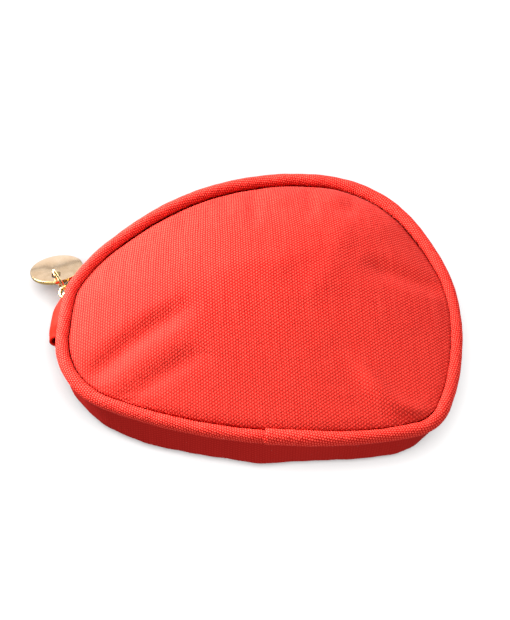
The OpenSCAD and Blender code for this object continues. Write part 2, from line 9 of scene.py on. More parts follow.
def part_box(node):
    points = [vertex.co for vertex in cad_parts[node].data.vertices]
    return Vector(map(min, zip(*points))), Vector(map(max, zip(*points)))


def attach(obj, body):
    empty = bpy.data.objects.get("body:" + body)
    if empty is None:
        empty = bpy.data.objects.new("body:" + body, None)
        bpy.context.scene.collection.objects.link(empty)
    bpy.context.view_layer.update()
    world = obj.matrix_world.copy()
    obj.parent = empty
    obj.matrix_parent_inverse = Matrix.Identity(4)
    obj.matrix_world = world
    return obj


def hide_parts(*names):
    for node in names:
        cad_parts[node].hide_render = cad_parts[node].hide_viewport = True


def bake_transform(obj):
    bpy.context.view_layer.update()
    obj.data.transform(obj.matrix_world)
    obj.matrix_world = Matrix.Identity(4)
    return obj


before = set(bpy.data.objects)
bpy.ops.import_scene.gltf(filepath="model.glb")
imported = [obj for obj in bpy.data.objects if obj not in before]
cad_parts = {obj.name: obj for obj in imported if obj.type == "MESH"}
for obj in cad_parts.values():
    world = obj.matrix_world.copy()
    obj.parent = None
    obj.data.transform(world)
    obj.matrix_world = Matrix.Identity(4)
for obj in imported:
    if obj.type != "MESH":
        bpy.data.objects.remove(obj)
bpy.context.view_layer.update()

MM = 0.001
scene = bpy.context.scene

# Outline over the piping, counter-clockwise: each arc's centre and radius (mm), first and last angle (degrees)
ARCS = np.array((
    (-15.0, -9.0, 85.0, -25.139, 29.929),
    (17.932, 9.959, 47.0, 29.929, 83.256),
    (13.0, -31.75, 89.0, 83.256, 154.8),
    (-49.433, -2.371, 20.0, 154.8, 174.647),
    (80.0, -14.5, 150.0, 174.647, 180.849),
    (-39.487, -16.27, 30.5, 180.849, 248.42),
    (15.5, 122.75, 180.0, 248.42, 281.365),
    (47.917, -38.524, 15.5, 281.365, 334.861),
))
# The piping's radius and the height of its middle; the zip's inset from the outline and its height (mm)
PIPING_R, PIPING_Z = 2.2, 18.0
WALL_INSET, ZIP_Z = 1.6, 11.5
# The line over which the front folds: place, height, and how far the bend reaches to either side (mm)
FOLD_Y, FOLD_Z, FOLD_REACH = -3.0, 31.1, 10.0
# Thickness of each cloth; the padding counts with its lining (mm)
FABRIC_T, PADDING_T, WRAP_T, TAB_T = 0.8, 2.4, 0.45, 0.7
LINING_T, BINDING_T, TAPE_T, GAUZE_T = 0.35, 0.3, 0.6, 0.45

ARC_LENGTHS = (ARCS[:, 2] - PIPING_R) * np.radians(ARCS[:, 4] - ARCS[:, 3])
ARC_ENDS = np.cumsum(ARC_LENGTHS)
EDGE_LENGTH = ARC_ENDS[-1]


def edge_on(arc, angle):
    """Length along the edge at an angle on one arc."""
    turned = math.radians(angle - ARCS[arc, 3])
    return ARC_ENDS[arc] - ARC_LENGTHS[arc] + (ARCS[arc, 2] - PIPING_R) * turned


# Where the fold ends at the right and left, and where the piping's wrap ends (mm along the edge)
FOLD_RIGHT = edge_on(0, 4.155)
FOLD_LEFT = edge_on(4, 175.537)
WRAP_END = edge_on(6, 265.55)


def edge_at(along, inset):
    """Points and outward directions at lengths along the edge, an inset inside the piping's outer side."""
    along = np.asarray(along, float) % EDGE_LENGTH
    arc = np.searchsorted(ARC_ENDS, along, side="right").clip(0, 7)
    passed = along - (ARC_ENDS - ARC_LENGTHS)[arc]
    angle = np.radians(ARCS[arc, 3]) + passed / (ARCS[arc, 2] - PIPING_R)
    out_x, out_y = np.cos(angle), np.sin(angle)
    reach = ARCS[arc, 2] - inset
    return ARCS[arc, 0] + reach * out_x, ARCS[arc, 1] + reach * out_y, out_x, out_y


def smooth(value, low, high):
    """0 below low, 1 above high, with a soft rise between."""
    share = np.clip((np.asarray(value, float) - low) / (high - low), 0, 1)
    return share * share * (3 - 2 * share)


# How far the piping and the front are drawn in from the zip, by the length along the edge (mm)
DRAWN_IN = np.array((
    (0, -0.2), (8, -0.3), (22, -0.1), (44, -0.25), (52, -0.25), (62, 0.35), (74, 0.95), (86, 1.3),
    (112, 1.4), (134, 1.4), (150, 1.6), (180, 1.7), (198, 1.6), (206, 1.2), (213, 0.5), (221, 0.1),
    (228, 0), (346, 0), (366, -0.45), (377, -0.6), (384, -0.45), (392, -0.25), (399.9, -0.2),
))
# Along the top the piping is lifted (mm) and leans in by a share of that, less so at the sides
TOP_LIFT, LIFT_START, LIFT_END = 1.6, 12, 50
TOP_LEAN, SIDE_LEAN = 0.65, 0.7


def lifted(y):
    """How far the piping is lifted along the top, where the padding stands high behind it."""
    return TOP_LIFT * smooth(y, LIFT_START, LIFT_END)


def drawn_in(along):
    """How far the piping is drawn in, with its lean along the lifted top."""
    _, y, out_x, out_y = edge_at(along, PIPING_R)
    lean = TOP_LEAN * out_y ** 2 / (SIDE_LEAN * out_x ** 2 + out_y ** 2)
    return np.interp(np.asarray(along) % EDGE_LENGTH, *DRAWN_IN.T) + lean * lifted(y)


EDGE_STATIONS = 4000
NEAR_LINE, FAR_LINE = 3.0, 6.0


def line_reach(angle, inset):
    """Plan distance from the panel's middle to a line inside the piping's outer side, by direction."""
    along = np.linspace(0, EDGE_LENGTH, EDGE_STATIONS)
    x, y, _, _ = edge_at(along, inset + drawn_in(along))
    turn = np.arctan2(y - FOLD_Y, x)
    order = np.argsort(turn)
    return np.interp(angle, turn[order], np.hypot(x, y - FOLD_Y)[order], period=2 * math.pi)


def seam_reach(angle, inset):
    """The same for an inset that changes with the direction, from two lines near the seam."""
    near, far = line_reach(angle, NEAR_LINE), line_reach(angle, FAR_LINE)
    return near + (far - near) * (inset - NEAR_LINE) / (FAR_LINE - NEAR_LINE)


def pick(piece):
    """Make one piece the only selected and the active one."""
    bpy.ops.object.select_all(action="DESELECT")
    piece.select_set(True)
    bpy.context.view_layer.objects.active = piece
    return piece


def added(name):
    """Name the piece that an operator has just added."""
    piece = bpy.context.object
    piece.name = piece.data.name = name
    return piece


def fresh(name, add, **settings):
    """A new piece from an operator that adds a simple shape."""
    bpy.ops.object.select_all(action="DESELECT")
    add(**settings)
    return added(name)


def merged(name, pieces):
    """Join pieces into one."""
    bpy.ops.object.select_all(action="DESELECT")
    for piece in pieces:
        piece.select_set(True)
    bpy.context.view_layer.objects.active = pieces[0]
    bpy.ops.object.join()
    return added(name)


CREASE = math.radians(40)


def joined(name, pieces):
    """Join pieces into one that stays sharp where its faces meet at a crease."""
    piece = merged(name, pieces)
    bpy.ops.object.shade_smooth_by_angle(angle=CREASE)
    return piece


def formed(piece, kind, **settings):
    """Add a modifier and apply it."""
    pick(piece)
    made = piece.modifiers.new(kind.lower(), kind)
    for key, value in settings.items():
        setattr(made, key, value)
    bpy.ops.object.modifier_apply(modifier=made.name)
    return piece


def thicken(piece, thickness):
    """Give a sheet its thickness, below or inside its own face."""
    return formed(piece, "SOLIDIFY", thickness=thickness * MM, offset=-1.0)


def in_edit(piece, *steps):
    """Run edit mode operators on the whole piece."""
    pick(piece)
    bpy.ops.object.mode_set(mode="EDIT")
    bpy.ops.mesh.select_all(action="SELECT")
    for step, settings in steps:
        step(**settings)
    bpy.ops.object.mode_set(mode="OBJECT")
    return piece


# Steps in edit mode: select only the open rim; turn all faces outward
RIM_ONLY = ((bpy.ops.mesh.select_mode, {"type": "EDGE"}), (bpy.ops.mesh.select_all, {"action": "DESELECT"}),
            (bpy.ops.mesh.select_non_manifold, {}))
FACES_OUT = (bpy.ops.mesh.normals_make_consistent, {"inside": False})


def selected(piece):
    """Which of the piece's vertices are selected."""
    found = np.zeros(len(piece.data.vertices), bool)
    piece.data.vertices.foreach_get("select", found)
    return found


def corners(piece):
    """The piece's vertices in millimetres."""
    found = np.empty(len(piece.data.vertices) * 3)
    piece.data.vertices.foreach_get("co", found)
    return found.reshape(-1, 3) / MM


def set_corners(piece, places):
    """Move the piece's vertices to places in millimetres."""
    piece.data.vertices.foreach_set("co", (np.asarray(places) * MM).ravel())
    piece.data.update()


# Vertices nearer than this are one: within a cloth, and between a packet's two halves (mm)
CLOTH_WELD, PACKET_WELD = 0.002, 0.01


def lay_cloth(name, places, flat):
    """A piece of fabric: a grid brought to places[row, column], with its flat weave coordinates, in mm."""
    rows, columns = places.shape[:2]
    piece = fresh(name, bpy.ops.mesh.primitive_grid_add,
                  x_subdivisions=columns - 1, y_subdivisions=rows - 1, size=1)
    grid = corners(piece) * MM
    column = np.rint((grid[:, 0] + 0.5) * (columns - 1)).astype(int)
    row = np.rint((grid[:, 1] + 0.5) * (rows - 1)).astype(int)
    set_corners(piece, places[row, column])
    corner = np.empty(len(piece.data.loops), int)
    piece.data.loops.foreach_get("vertex_index", corner)
    piece.data.uv_layers.active.name = "cloth"
    piece.data.uv_layers["cloth"].data.foreach_set("uv", flat[row, column][corner].ravel())
    in_edit(piece, (bpy.ops.mesh.remove_doubles, {"threshold": CLOTH_WELD * MM}))
    bpy.ops.object.shade_smooth()
    return piece


def edge_strip(name, first, last, profile, step=1.4):
    """A strip of fabric along the edge; profile gives rows of (inset, height, slip) for the lengths along."""
    along = np.linspace(first, last, max(3, math.ceil((last - first) / step) + 1))
    rows = profile(along)
    places = np.empty((len(rows), len(along), 3))
    flat = np.empty((len(rows), len(along), 2))
    across = 0.0
    for row, (inset, height, *slip) in enumerate(rows):
        x, y, _, _ = edge_at(along + (slip[0] if slip else 0), inset)
        places[row] = np.stack((x, y, height + 0 * along), 1)
        if row:
            across += np.linalg.norm(places[row] - places[row - 1], axis=1).mean()
        flat[row] = np.stack((along, across + 0 * along), 1)
    return lay_cloth(name, places, flat)


# finishes

def new_finish(name, **values):
    """A material, its node tree and its shader with some of the shader's values set."""
    finish = bpy.data.materials.new(name)
    finish.use_nodes = True
    shader = finish.node_tree.nodes["Principled BSDF"]
    for key, value in values.items():
        shader.inputs[key.replace("_", " ").title().replace("Ior", "IOR")].default_value = value
    return finish, finish.node_tree, shader


def wire(tree, kind, inputs=(), **settings):
    """Add a node and set or link its inputs, by place or by name."""
    made = tree.nodes.new(kind)
    for key, value in settings.items():
        setattr(made, key, value)
    pairs = inputs.items() if isinstance(inputs, dict) else enumerate(inputs)
    for key, value in pairs:
        if isinstance(value, bpy.types.NodeSocket):
            tree.links.new(value, made.inputs[key])
        elif value is not None:
            made.inputs[key].default_value = value
    return made


def sums(tree, operation, *values):
    """The result of a step of arithmetic."""
    return wire(tree, "ShaderNodeMath", values, operation=operation).outputs[0]


def noise(tree, place, scale, detail):
    """A noise texture over some coordinates."""
    return wire(tree, "ShaderNodeTexNoise", {"Vector": place, "Scale": scale, "Detail": detail})


def ramp(tree, share, *stops):
    """Colours along a share: stops are (place, colour)."""
    made = wire(tree, "ShaderNodeValToRGB", (share,))
    band = made.color_ramp
    while len(band.elements) < len(stops):
        band.elements.new(1.0)
    for element, (place, colour) in zip(band.elements, stops):
        element.position = place
        element.color = (*colour, 1)
    return made.outputs[0]


def multiplied(tree, colour, other):
    """One colour times another; the mixing node keeps its colours at sockets 6, 7 and, as the result, 2."""
    made = wire(tree, "ShaderNodeMix", {0: 1.0, 6: colour, 7: other}, data_type="RGBA", blend_type="MULTIPLY")
    return made.outputs[2]


def bumped(tree, shader, height, distance, strength=1.0):
    """Relief from a height, its distance in mm."""
    inputs = {"Height": height, "Distance": distance * MM, "Strength": strength}
    tree.links.new(wire(tree, "ShaderNodeBump", inputs).outputs[0], shader.inputs["Normal"])


# No weave is quite even: how closely and how far its threads wander (mm), how long and strong their streaks
# are, and how wide and dark the dye's blotches
DRIFT_SCALE, DRIFT = 0.09, (0.9, 0.9, 0)
STREAK_SCALE, STREAK = (1.3, 0.05, 1), 0.35
BLOTCH_SCALE, BLOTCH = 0.035, (0.93, 0.9, 0.9)


def woven(name, dark, light, pitch=(0.89, 0.57), turn=0.0, relief=0.16, dots=0.42, lines=0.17, depth=1.0,
          **values):
    """Plain weave on the fabric's flat coordinates: a dot where each thread comes over, lines between threads.

    pitch is in mm, turn in degrees. dots and lines are strengths, or (start, strength, end, strength) along the
    fabric's width in mm; depth, how far the shades stand apart, may change along its length in the same way.
    """
    finish, tree, shader = new_finish(name, **values)

    def vectors(operation, *inputs):
        return wire(tree, "ShaderNodeVectorMath", inputs, operation=operation).outputs[0]

    flat = wire(tree, "ShaderNodeUVMap", uv_map="cloth").outputs[0]
    centred = vectors("SUBTRACT", noise(tree, flat, DRIFT_SCALE, 3.0).outputs["Color"], (0.5, 0.5, 0.5))
    drifted = vectors("MULTIPLY_ADD", centred, DRIFT, flat)
    way = (0, 0, math.radians(turn))
    turned = wire(tree, "ShaderNodeMapping", {"Vector": drifted, "Rotation": way}).outputs[0]
    parts = wire(tree, "ShaderNodeSeparateXYZ", (turned,)).outputs
    warp, weft = (sums(tree, "COSINE", sums(tree, "MULTIPLY", part, math.pi / size))
                  for part, size in zip(parts, pitch))
    over = sums(tree, "MULTIPLY", warp, weft)
    between = sums(tree, "MULTIPLY_ADD", sums(tree, "MULTIPLY", warp, warp), 2.0, -1.0)

    def strength(given, axis=0):
        if not isinstance(given, tuple):
            return given
        keys = dict(zip(("From Min", "To Min", "From Max", "To Max"), given))
        return wire(tree, "ShaderNodeMapRange", {"Value": parts[axis], **keys}).outputs[0]

    threads = noise(tree, vectors("MULTIPLY", turned, STREAK_SCALE), 1.0, 2.0).outputs["Fac"]
    shade = sums(tree, "MULTIPLY_ADD", threads, STREAK, -STREAK / 2)
    shade = sums(tree, "MULTIPLY_ADD", over, strength(dots), shade)
    shade = sums(tree, "MULTIPLY_ADD", between, strength(lines), shade)
    bumped(tree, shader, shade, relief)
    shade = sums(tree, "MULTIPLY_ADD", shade, strength(depth, 1), 0.5)
    colour = ramp(tree, shade, (0.08, dark), (0.95, light))
    blotch = ramp(tree, noise(tree, flat, BLOTCH_SCALE, 3.0).outputs["Fac"], (0.3, BLOTCH), (0.7, (1, 1, 1)))
    tree.links.new(multiplied(tree, colour, blotch), shader.inputs["Base Color"])
    return finish


RED = {"roughness": 0.6, "specular_ior_level": 0.03}
DULL = {"roughness": 0.85, "specular_ior_level": 0.02}
# The front's weave has stronger lines and weaker dots to the left, and its shades stand further apart towards
# the top: painted light, for light from the left and from behind grazing the weave's relief
red_weave = woven("red_weave", (0.31, 0.0012, 0.0008), (0.57, 0.0445, 0.0295), turn=-3.0,
                  dots=(-60.0, 0.36, -20.0, 0.54), lines=(-65.0, 0.36, 65.0, 0.14),
                  depth=(-45.0, 0.68, 45.0, 1.6), sheen_weight=0.035, sheen_roughness=0.4, **RED)
red_bias = woven("red_bias_weave", (0.36, 0.003, 0.002), (0.8, 0.066, 0.046),
                 pitch=(0.74, 0.5), turn=45.0, depth=1.9, relief=0.22, **RED)
# The walls are the same red cloth as the front in darker colours: painted shade, for the shadow the walls stand
# in below the piping
red_wall_painted_shade = woven("wall_weave_painted_shade", (0.285, 0.0083, 0.0066), (0.4, 0.019, 0.0152), relief=0.08, **DULL)
tab_weave = woven("tab_weave", (0.4, 0.008, 0.003), (0.48, 0.0135, 0.006),
                  pitch=(0.35, 0.3), relief=0.04, **RED)
tape_weave = woven("zip_tape_weave", (0.38, 0.009, 0.008), (0.57, 0.03, 0.023),
                   pitch=(0.5, 0.3), relief=0.08, roughness=0.8)
lining_weave = woven("lining_weave", (0.09, 0.095, 0.1), (0.16, 0.165, 0.17),
                     pitch=(0.35, 0.35), relief=0.05, roughness=0.8)
binding_weave = woven("binding_weave", (0.03, 0.03, 0.035), (0.08, 0.08, 0.09),
                      pitch=(0.5, 0.5), relief=0.08, roughness=0.85)
gauze = woven("gauze_weave", (0.2, 0.195, 0.18), (0.46, 0.455, 0.43),
              pitch=(0.6, 0.6), relief=0.14, roughness=0.9)
tape_cloth = woven("tape_cloth", (0.44, 0.42, 0.37), (0.56, 0.545, 0.5),
                   pitch=(0.4, 0.4), relief=0.05, roughness=0.8)


def gold_finish(name, dark, light):
    """Polished pale gold plating with fine hairlines."""
    finish, tree, shader = new_finish(name, metallic=1.0)
    place = wire(tree, "ShaderNodeTexCoord").outputs["Object"]
    smear = noise(tree, place, 260.0, 3.0).outputs["Fac"]
    tree.links.new(ramp(tree, smear, (0.3, dark), (0.7, light)), shader.inputs["Base Color"])
    rough = wire(tree, "ShaderNodeMapRange", {"Value": smear, "To Min": 0.12, "To Max": 0.16}).outputs[0]
    tree.links.new(rough, shader.inputs["Roughness"])
    lines = wire(tree, "ShaderNodeMapping", {"Vector": place, "Scale": (900, 9000, 900)}).outputs[0]
    bumped(tree, shader, noise(tree, lines, 1.0, 2.0).outputs["Fac"], 0.002, 0.4)
    return finish


def plain_finish(name, dark, light, grain, relief, **values):
    """A smooth finish with slight mottling and a fine relief (mm), on the piece's own coordinates."""
    finish, tree, shader = new_finish(name, **values)
    place = wire(tree, "ShaderNodeTexCoord").outputs["Object"]
    mottle = noise(tree, place, grain, 4.0).outputs["Fac"]
    tree.links.new(ramp(tree, mottle, (0.35, dark), (0.65, light)), shader.inputs["Base Color"])
    bumped(tree, shader, mottle, relief)
    return finish


gold = gold_finish("pale_gold", (0.74, 0.51, 0.31), (0.88, 0.66, 0.45))
# A darker gold for the disc's edge and bevels: painted shade, for the dark reflection of the disc's own shadow
# below it
painted_shade_gold_edge = gold_finish("gold_edge_painted_shade", (0.24, 0.16, 0.06), (0.4, 0.28, 0.12))
gold_wire = gold_finish("bright_gold_wire", (0.46, 0.31, 0.14), (0.6, 0.43, 0.23))
coil_nylon = plain_finish("coil_nylon", (0.46, 0.022, 0.017), (0.56, 0.034, 0.025), 900.0, 0.02, roughness=0.38)
paper = plain_finish("paper_wrap", (0.36, 0.37, 0.36), (0.46, 0.47, 0.46), 160.0, 0.25, roughness=0.6)
glove_film = plain_finish("glove_film", (0.22, 0.34, 0.45), (0.36, 0.48, 0.58), 120.0, 0.35, roughness=0.25)
plaster = plain_finish("plaster_paper", (0.44, 0.29, 0.18), (0.54, 0.38, 0.25), 500.0, 0.06, roughness=0.7)
core_plastic = plain_finish("core_plastic", (0.07, 0.24, 0.48), (0.1, 0.3, 0.55), 700.0, 0.02, roughness=0.4)
foil = plain_finish("foil_wrap", (0.66, 0.52, 0.22), (0.85, 0.72, 0.4), 220.0, 0.4,
                    roughness=0.22, metallic=0.9)
steel = plain_finish("brushed_steel", (0.58, 0.59, 0.6), (0.72, 0.73, 0.74), 1500.0, 0.01,
                     roughness=0.3, metallic=1.0)


def done(piece, finish, nodes, body="pouch", folds=False):
    """Give a piece its finish, hide the nodes that it stands for, and hang it on its body's empty, or with
    folds set bake its place into its mesh instead.
    """
    piece.data.materials.clear()
    piece.data.materials.append(finish)
    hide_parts(*nodes)
    if folds:
        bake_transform(piece)
    else:
        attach(piece, body)
    return piece


# panels: a square of fabric drawn out to the round outline

# Where the front meets the piping, by direction from the panel's middle (degrees): distance from the cord's
# middle (mm) and turn round it (degrees), and the same two for the rim that is tucked under the piping
RIM = np.array((
    (-180, 2.65, 14), (-150, 2.7, 10), (-120, 2.6, 14), (-90, 2.5, 20), (-45, 2.45, 26), (0, 2.4, 34),
    (12, 2.6, 18), (25, 2.95, 4), (50, 3.2, -4), (90, 3.3, -6), (135, 3.1, -4), (160, 2.8, 4), (180, 2.65, 14),
), float)
TUCK_SIZE, TUCK_TURN = 2.35, -65


def rim_at(angle, down=0.0):
    """Inset and height of the front's rim by direction; down carries it on round the cord, under the piping."""
    size, turn = (np.interp(np.degrees(angle), RIM[:, 0], RIM[:, k]) for k in (1, 2))
    size, turn = size + (TUCK_SIZE - size) * down, np.radians(turn + (TUCK_TURN - turn) * down)
    inset = PIPING_R + size * np.cos(turn)
    return inset, lifted(FOLD_Y + seam_reach(angle, inset) * np.sin(angle)) + size * np.sin(turn)


def round_grid(count, reach_at):
    """A square grid drawn out to a round edge: plan x and y, share of the way to the edge, direction."""
    side = np.linspace(-1, 1, count)
    s, t = np.meshgrid(side, side)
    u, v = s * np.sqrt(1 - t * t / 2), t * np.sqrt(1 - s * s / 2)
    share, angle = np.hypot(u, v), np.arctan2(v, u)
    reach = reach_at(angle)
    return share * reach * np.cos(angle), FOLD_Y + share * reach * np.sin(angle), np.minimum(share, 1), angle


# The padded front's rise (mm), how much more it rises towards the top, and half the pouch's depth (mm)
CROWN, CROWN_TILT, HALF_DEPTH = 13.5, 0.7, 57.25
# How steeply it falls off to the rim, and the direction (degrees) in which it falls off more evenly
FALL, EVEN_FALL, EVEN_WAY = 2.2, 0.5, 112
# The roll of padding beside the piping (mm): everywhere, more at the top and the bottom; how sharply it ends
ROLL, ROLL_TOP, ROLL_LOW, ROLL_END = 0.5, 0.8, 0.9, 26


def crown(y, share, angle):
    """Height of the padded front above the table."""
    full = CROWN * (1 + CROWN_TILT * y / HALF_DEPTH)
    even = smooth(np.cos(angle - math.radians(EVEN_WAY)), 0.1, 0.9)
    upper, lower = smooth(np.sin(angle), 0.1, 0.7), smooth(-np.sin(angle), 0.4, 0.9)
    roll = ROLL + (ROLL_TOP * upper + ROLL_LOW * lower) * share ** 4
    return (PIPING_Z + rim_at(angle)[1] * share ** 3 + full * (1 - share ** (FALL - EVEN_FALL * even))
            + roll * (1 - np.exp(-(1 - share) * ROLL_END)))


def fold_line(x, y, path, width):
    """1 along a soft line through three points, 0 away from it; it fades out at both ends."""
    first, middle, last = (np.array(point, float) for point in path)
    share = np.linspace(0, 1, 61)[:, None]
    pull = 2 * middle - (first + last) / 2
    line = (1 - share) ** 2 * first + 2 * share * (1 - share) * pull + share ** 2 * last
    off = np.hypot(x[..., None] - line[:, 0], y[..., None] - line[:, 1])
    near = share[off.argmin(-1), 0]
    return np.exp(-(off.min(-1) / width) ** 2) * smooth(near, 0, 0.3) * (1 - smooth(near, 0.7, 1))


# Soft folds in the padded front: path, depth (a ridge is negative) and width (mm)
FOLDS = (
    (((-68, -47), (-43.5, -22.5), (-16, -7.5)), 2.3, 4.6),
    (((-56, -53), (-35.5, -36), (-14, -24)), 1.15, 4.0),
    (((34, 8), (54, 3.2), (86, -2)), 1.5, 4.2),
    (((30, -25), (47, -46), (72, -45)), -2.0, 3.2),
    (((-2.6, 56), (-2.2, 38), (-1.0, 18)), 1.1, 2.5),
    (((18.8, 56), (18.8, 39), (17.8, 22)), 1.1, 2.5),
    (((6.5, 58), (7, 43), (8, 30)), -0.8, 4.0),
    (((29.5, 54), (28, 42), (26, 31)), -0.8, 4.0),
    (((-13, 52), (-12.6, 39), (-11, 28)), 0.6, 2.6),
    (((38, 50), (34.5, 37), (31, 26)), 0.6, 2.8),
    (((-33, 44), (-29, 33), (-25, 24)), 0.5, 2.8),
    (((-20, 0), (-2, 5.2), (15, 2)), -0.45, 5.0),
    (((12, -10), (26.2, 8), (30, 40)), -0.4, 4.4),
)


def laid_flat(x, y, share, angle):
    """Flat fabric coordinates of the crowned front: each place as far from the middle as the cloth runs."""
    steps = 24
    reach = np.hypot(x, y - FOLD_Y)
    length, last = 0 * reach, crown(FOLD_Y + 0 * y, 0 * share, angle)
    for part in np.linspace(0, 1, steps + 1)[1:]:
        height = crown(FOLD_Y + part * (y - FOLD_Y), part * share, angle)
        length += np.hypot(reach / steps, height - last)
        last = height
    return np.stack((length * np.cos(angle), FOLD_Y + length * np.sin(angle)), 2)


def front_sheet(name, count, inside, drop):
    """The crowned front of count by count places, or a layer that ends inside it and lies a drop below it."""
    x, y, share, angle = round_grid(count, lambda angle: seam_reach(angle, rim_at(angle)[0] + inside))
    folded = sum(depth * fold_line(x, y, path, width) for path, depth, width in FOLDS)
    height = crown(y, share, angle) - drop - folded * (1 - share ** 16)
    return lay_cloth(name, np.stack((x, y, height), 2), laid_flat(x, y, share, angle))


front_panel = front_sheet("front_panel", 145, 0.0, 0.0)


def tucked(piece):
    """Carry the sheet's open rim on round the cord, under the piping."""
    for down in (0.25, 0.5, 0.75, 1.0):
        in_edit(piece, *RIM_ONLY, (bpy.ops.mesh.extrude_region_move, {}))
        rim, places = selected(piece), corners(piece)
        angle = np.arctan2(places[rim, 1] - FOLD_Y, places[rim, 0])
        inset, height = rim_at(angle, down)
        reach = seam_reach(angle, inset)
        places[rim] = np.stack((reach * np.cos(angle), FOLD_Y + reach * np.sin(angle), PIPING_Z + height), 1)
        set_corners(piece, places)
    return piece


SIMULATED_FRAMES = 20


def pressed_out(piece, most):
    """Let the padding press the cloth out in a short simulation: the rim held, no place moving over most mm."""
    start = corners(piece)
    in_edit(piece, *RIM_ONLY)
    rim = np.flatnonzero(selected(piece)).tolist()
    piece.vertex_groups.new(name="held").add(rim, 1.0, "REPLACE")
    cloth = pick(piece).modifiers.new("cloth", "CLOTH")
    cloth.settings.quality = 6
    cloth.settings.tension_stiffness = cloth.settings.compression_stiffness = 15
    cloth.settings.bending_stiffness = 120
    cloth.settings.vertex_group_mass = "held"
    cloth.settings.use_pressure = True
    cloth.settings.uniform_pressure_force = 4
    cloth.settings.effector_weights.gravity = 0
    cloth.collision_settings.use_collision = False
    for step in range(1, SIMULATED_FRAMES + 1):
        scene.frame_set(step)
    bpy.ops.object.modifier_apply(modifier="cloth")
    scene.frame_set(1)
    piece.vertex_groups.clear()
    moved = corners(piece) - start
    far = np.linalg.norm(moved, axis=1, keepdims=True)
    set_corners(piece, start + moved * np.minimum(1, most / np.maximum(far, 1e-9)))


pressed_out(front_panel, 0.7)
tucked(front_panel)
thicken(front_panel, FABRIC_T)
done(front_panel, red_weave, ("front_panel_lower", "front_panel_flap"), folds=True)

front_lining = front_sheet("front_lining", 65, 0.9, 1.0)
thicken(front_lining, PADDING_T)
done(front_lining, lining_weave,
     ("front_foam_lower", "front_foam_flap", "front_lining_lower", "front_lining_flap"), folds=True)


# piping: a bias strip round a cord; its free end lies over the other end at the bottom

# The free end is fuller, lies further in and higher; the end below it is thinner and runs on under it (mm)
OVER_FULLER, OVER_IN, OVER_UP = 0.42, 0.2, 0.1
UNDER_THINNER, UNDER_RUN = 0.14, 12.0
# Along the top the piping is fuller and lies further in; the free end's edge is frayed over a short length (mm)
FAR_FULLER, FAR_IN = 0.2, 0.15
FRAY, FRAY_LENGTH = 0.22, 1.5


def pipe_profile(along):
    """The wrap round its cord, from its free end to the end below that."""
    passed = along - WRAP_END
    over = 1 - smooth(passed, 6, 36)
    under = smooth(passed, EDGE_LENGTH - 2, EDGE_LENGTH)
    _, y, _, _ = edge_at(along, PIPING_R)
    far = smooth(y, 25, 48)
    wave = 0.04 * np.sin(0.41 * along + 1.3) + 0.03 * np.sin(0.93 * along)
    size = PIPING_R + OVER_FULLER * over - UNDER_THINNER * under + FAR_FULLER * far + wave
    middle = PIPING_R + OVER_IN * over + FAR_IN * far + drawn_in(along)
    height = PIPING_Z + lifted(y) + OVER_UP * over
    rows = []
    for number, turn in enumerate(np.linspace(-180, 180, 25)):
        a = math.radians(turn)
        fray = FRAY * (1 - smooth(passed, 0, FRAY_LENGTH)) * math.sin(2.4 * number)
        rows.append((middle - size * math.cos(a), height + size * math.sin(a), fray))
    return rows


piping = edge_strip("piping", WRAP_END, WRAP_END + EDGE_LENGTH + UNDER_RUN, pipe_profile, 1.2)
thicken(piping, WRAP_T)
done(piping, red_bias,
     ("piping_lower", "piping_flap", "piping_cord_lower", "piping_cord_flap"), folds=True)


# wall: it turns under the pouch and stands a little fuller than its seams

# How far inside the outline the wall's foot is seen, by the length along the edge (mm)
FOOT = np.array((
    (0, 3.7), (6, 3.0), (20, 2.4), (200, 2.4), (252, 2.2), (262, 1.9), (273, 2.3), (280, 1.6), (286, 0.8),
    (294, -0.1), (303, -0.1), (317, 0.4), (327, 0.4), (334, 0.1), (338, -0.1), (342, 0.45), (347, 1.2),
    (352, 1.7), (377, 1.5), (381, 1.3), (384.5, 1.9), (388.4, 3.1), (393.5, 4.2), (399.9, 3.7),
))
# The wall's foot: radius of its turn, the share of it that is seen past, seam below, gap to the table (mm)
FOOT_TURN, FOOT_PAST, FOOT_SEAM, FOOT_GAP = 4.6, 0.16, 3.0, 0.02
# The wall's upper end: height and inset; how far the wall bulges below it; the seam under the piping (mm)
WALL_TOP, WALL_TOP_INSET, WALL_BULGE = 16.2, 1.7, 0.5
WALL_SEAM = (2.2, 16.7)


def wall_inset(along, height):
    """How far inside the outline the wall stands at a height above the table."""
    foot = sum(np.interp((along + shift) % EDGE_LENGTH, *FOOT.T) for shift in (-3, -1.5, 0, 1.5, 3)) / 5
    foot = foot - FOOT_PAST * FOOT_TURN + 0.08 * np.sin(0.37 * along) + 0.06 * np.sin(0.83 * along + 2)
    share = max(height - FOOT_TURN, 0) / (WALL_TOP - FOOT_TURN)
    return foot * (1 - share) + WALL_TOP_INSET * share - WALL_BULGE * share * (1 - share)


def wall_profile(top, tuck):
    """The wall from its seam below the pouch up to a height, and the rows that are tucked in there."""
    def rows(along):
        foot = wall_inset(along, 0)
        made = [(foot + FOOT_TURN + FOOT_SEAM, FOOT_GAP)]
        for a in np.linspace(-90, 0, 8):
            c, s = math.cos(math.radians(a)), math.sin(math.radians(a))
            made.append((foot + FOOT_TURN * (1 - c), FOOT_TURN * (1 + s) + FOOT_GAP))
        return made + [(wall_inset(along, z), z) for z in np.linspace(FOOT_TURN, top, 7)[1:]] + tuck
    return rows


lower_gusset = edge_strip("lower_gusset_cloth", FOLD_LEFT, FOLD_RIGHT + EDGE_LENGTH,
                          wall_profile(WALL_TOP, [WALL_SEAM]))
thicken(lower_gusset, FABRIC_T)
done(lower_gusset, red_wall_painted_shade, ("lower_gusset",))

